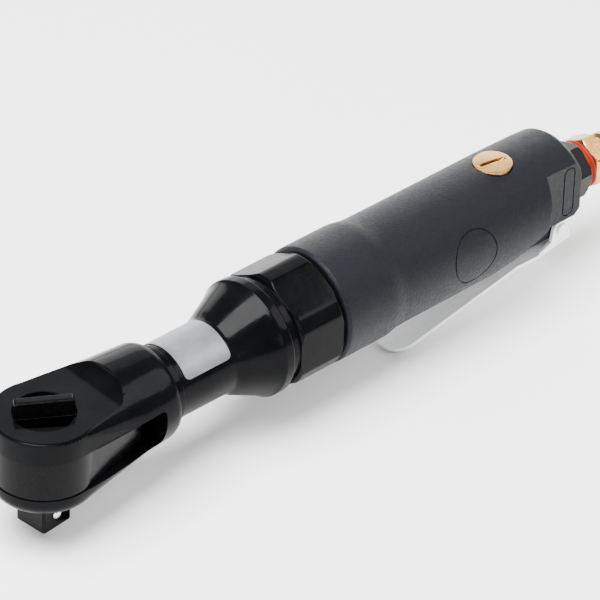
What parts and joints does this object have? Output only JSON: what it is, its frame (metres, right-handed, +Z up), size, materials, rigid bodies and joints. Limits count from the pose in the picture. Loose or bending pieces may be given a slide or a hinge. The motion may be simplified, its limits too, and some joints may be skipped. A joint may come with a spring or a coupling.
{
  "type": "air ratchet wrench",
  "caption": "Straight compressed-air ratchet with a square drive, yoke head, reverse knob, hexagon clamp nut, round handle with throttle lever and rear air inlet.",
  "frame": {"origin": "axis of the drive spindle, where the square leaves the underside of the head", "axes": "+X along the tool towards the air inlet, +Z up through the reverse knob; the tool's axis lies at z = 17.2 mm"},
  "size_m": [0.2932, 0.0426, 0.0565],
  "materials": {
    "black_gloss": "glossy black enamel",
    "black_textured": "matt, finely textured black coating on aluminium",
    "blackened_steel": "satin black oxide",
    "machined_steel": "oiled machined steel",
    "bright_steel": "ground bright steel",
    "lever_chrome": "polished chrome plate",
    "label_foil": "blank satin foil",
    "brass": "turned brass",
    "seal_orange": "orange-red moulded seal",
    "black_rubber": "black nitrile rubber",
    "black_plastic": "black acetal",
    "phenolic": "brown phenolic laminate",
    "gasket_fibre": "dark fibre gasket"
  },
  "bodies": {
    "tool_body": {"ratchet_housing": "black_gloss", "rating_label": "label_foil", "clamp_nut": "black_gloss", "thrust_washer": "brass", "spindle_snap_ring": "bright_steel", "crank_needle_bearings": "bright_steel", "ring_gear": "machined_steel", "motor_spacer": "machined_steel", "front_end_plate": "machined_steel", "rear_end_plate": "machined_steel", "motor_cylinder": "machined_steel", "bearing_outer_rings": "bright_steel", "cylinder_dowel": "bright_steel", "motor_gasket": "gasket_fibre", "motor_housing": "black_textured", "lever_pin": "bright_steel", "valve_bushing": "brass", "plunger_o_ring": "black_rubber", "valve_seat": "brass", "valve_spring": "bright_steel", "air_inlet_bushing": "blackened_steel", "inlet_screen": "bright_steel", "inlet_seal_ring": "seal_orange", "plug_nipple": "brass"},
    "spindle": {"ratchet_spindle": "blackened_steel", "pawl_pin": "bright_steel", "socket_ball_spring": "bright_steel"},
    "knob": {"reverse_knob": "blackened_steel"},
    "knob_plunger": {"pawl_plunger": "bright_steel"},
    "rocking_pawl": {"pawl": "bright_steel"},
    "retaining_ball": {"socket_ball": "bright_steel"},
    "yoke": {"ratchet_yoke": "blackened_steel"},
    "crank": {"crankshaft": "machined_steel", "planet_pins": "bright_steel"},
    "crank_bushing": {"drive_bushing": "brass"},
    "planet_1": {"planet_gear_1": "bright_steel"},
    "planet_2": {"planet_gear_2": "bright_steel"},
    "planet_3": {"planet_gear_3": "bright_steel"},
    "rotor_assembly": {"rotor": "machined_steel", "rotor_vanes": "phenolic", "bearing_inner_rings": "bright_steel"},
    "ball_sets": {"bearing_balls": "bright_steel"},
    "lever": {"throttle_lever": "lever_chrome"},
    "throttle_plunger": {"valve_plunger": "black_plastic"},
    "throttle_ball": {"valve_ball": "bright_steel"},
    "regulator": {"air_regulator": "brass", "regulator_o_ring": "black_rubber"}
  },
  "joints": [
    {"name": "throttle_lever_turn", "type": "hinge", "parent": "tool_body", "child": "lever", "pos_m": [0.2285, 0, 0.0019], "axis": [0, 1, 0], "range_deg": [0, 6.5], "stiffness_Nm_per_rad": 5, "springref_deg": -5.73},
    {"name": "throttle_plunger_slide", "type": "slide", "parent": "tool_body", "child": "throttle_plunger", "axis": [0, 0, 1], "range_m": [0, 0.0033]},
    {"name": "throttle_ball_slide", "type": "slide", "parent": "tool_body", "child": "throttle_ball", "axis": [0, 0, 1], "range_m": [0, 0.0033], "deforming": ["valve_spring"]},
    {"name": "regulator_turn", "type": "hinge", "parent": "tool_body", "child": "regulator", "pos_m": [0.202, 0, 0.03], "axis": [0, 0, 1], "range_deg": [-90, 90]},
    {"name": "crank_turn", "type": "hinge", "parent": "tool_body", "child": "crank", "pos_m": [0.06, 0, 0.0172], "axis": [1, 0, 0], "range_deg": [-91, 91]},
    {"name": "drive_bushing_turn", "type": "hinge", "parent": "crank", "child": "crank_bushing", "pos_m": [0.029, 0, 0.0142], "axis": [1, 0, 0], "range_deg": [-92, 92]},
    {"name": "yoke_swing", "type": "hinge", "parent": "tool_body", "child": "yoke", "pos_m": [0, 0, 0.0145], "axis": [0, 0, 1], "range_deg": [-6.8, 6.8]},
    {"name": "rotor_spin", "type": "hinge", "parent": "tool_body", "child": "rotor_assembly", "pos_m": [0.143, 0, 0.0172], "axis": [1, 0, 0], "range_deg": [-405, 405]},
    {"name": "ball_sets_spin", "type": "hinge", "parent": "tool_body", "child": "ball_sets", "pos_m": [0.143, 0, 0.0172], "axis": [1, 0, 0], "range_deg": [-168, 168]},
    {"name": "planet_1_spin", "type": "hinge", "parent": "crank", "child": "planet_1", "pos_m": [0.0905, 0.00837, 0.0172], "axis": [1, 0, 0], "range_deg": [-255, 255]},
    {"name": "planet_2_spin", "type": "hinge", "parent": "crank", "child": "planet_2", "pos_m": [0.0905, -0.00419, 0.02445], "axis": [1, 0, 0], "range_deg": [-255, 255]},
    {"name": "planet_3_spin", "type": "hinge", "parent": "crank", "child": "planet_3", "pos_m": [0.0905, -0.00419, 0.00995], "axis": [1, 0, 0], "range_deg": [-255, 255]},
    {"name": "spindle_turn", "type": "hinge", "parent": "tool_body", "child": "spindle", "pos_m": [0, 0, 0], "axis": [0, 0, 1], "continuous": true},
    {"name": "reverse_knob_turn", "type": "hinge", "parent": "spindle", "child": "knob", "pos_m": [0, 0, 0.028], "axis": [0, 0, 1], "range_deg": [0, 74]},
    {"name": "pawl_rock", "type": "hinge", "parent": "spindle", "child": "rocking_pawl", "pos_m": [-0.00063, 0.00717, 0.015], "axis": [0, 0, 1], "range_deg": [-7.3, 0.1]},
    {"name": "pawl_plunger_slide", "type": "slide", "parent": "knob", "child": "knob_plunger", "axis": [0.5299, 0.848, 0], "range_m": [-0.0003, 0.0001], "stiffness_N_per_m": 800, "springref_m": 0.001},
    {"name": "socket_ball_slide", "type": "slide", "parent": "spindle", "child": "retaining_ball", "axis": [-0.0872, 0.9962, 0], "range_m": [0, 0.0006], "stiffness_N_per_m": 1500, "springref_m": -0.002}
  ],
  "couplings": [
    {"joint": "throttle_plunger_slide", "follows": "throttle_lever_turn", "m_per_rad": 0.0275},
    {"joint": "throttle_ball_slide", "follows": "throttle_lever_turn", "m_per_rad": 0.0275},
    {"joint": "crank_turn", "follows": "rotor_spin", "ratio": 0.22222},
    {"joint": "drive_bushing_turn", "follows": "rotor_spin", "ratio": -0.22222},
    {"joint": "yoke_swing", "follows": "rotor_spin", "ratio": 0.016658},
    {"joint": "ball_sets_spin", "follows": "rotor_spin", "ratio": 0.4062},
    {"joint": "planet_1_spin", "follows": "rotor_spin", "ratio": -0.62222},
    {"joint": "planet_2_spin", "follows": "rotor_spin", "ratio": -0.62222},
    {"joint": "planet_3_spin", "follows": "rotor_spin", "ratio": -0.62222},
    {"joint": "pawl_rock", "follows": "reverse_knob_turn", "ratio": -0.0973}
  ]
}
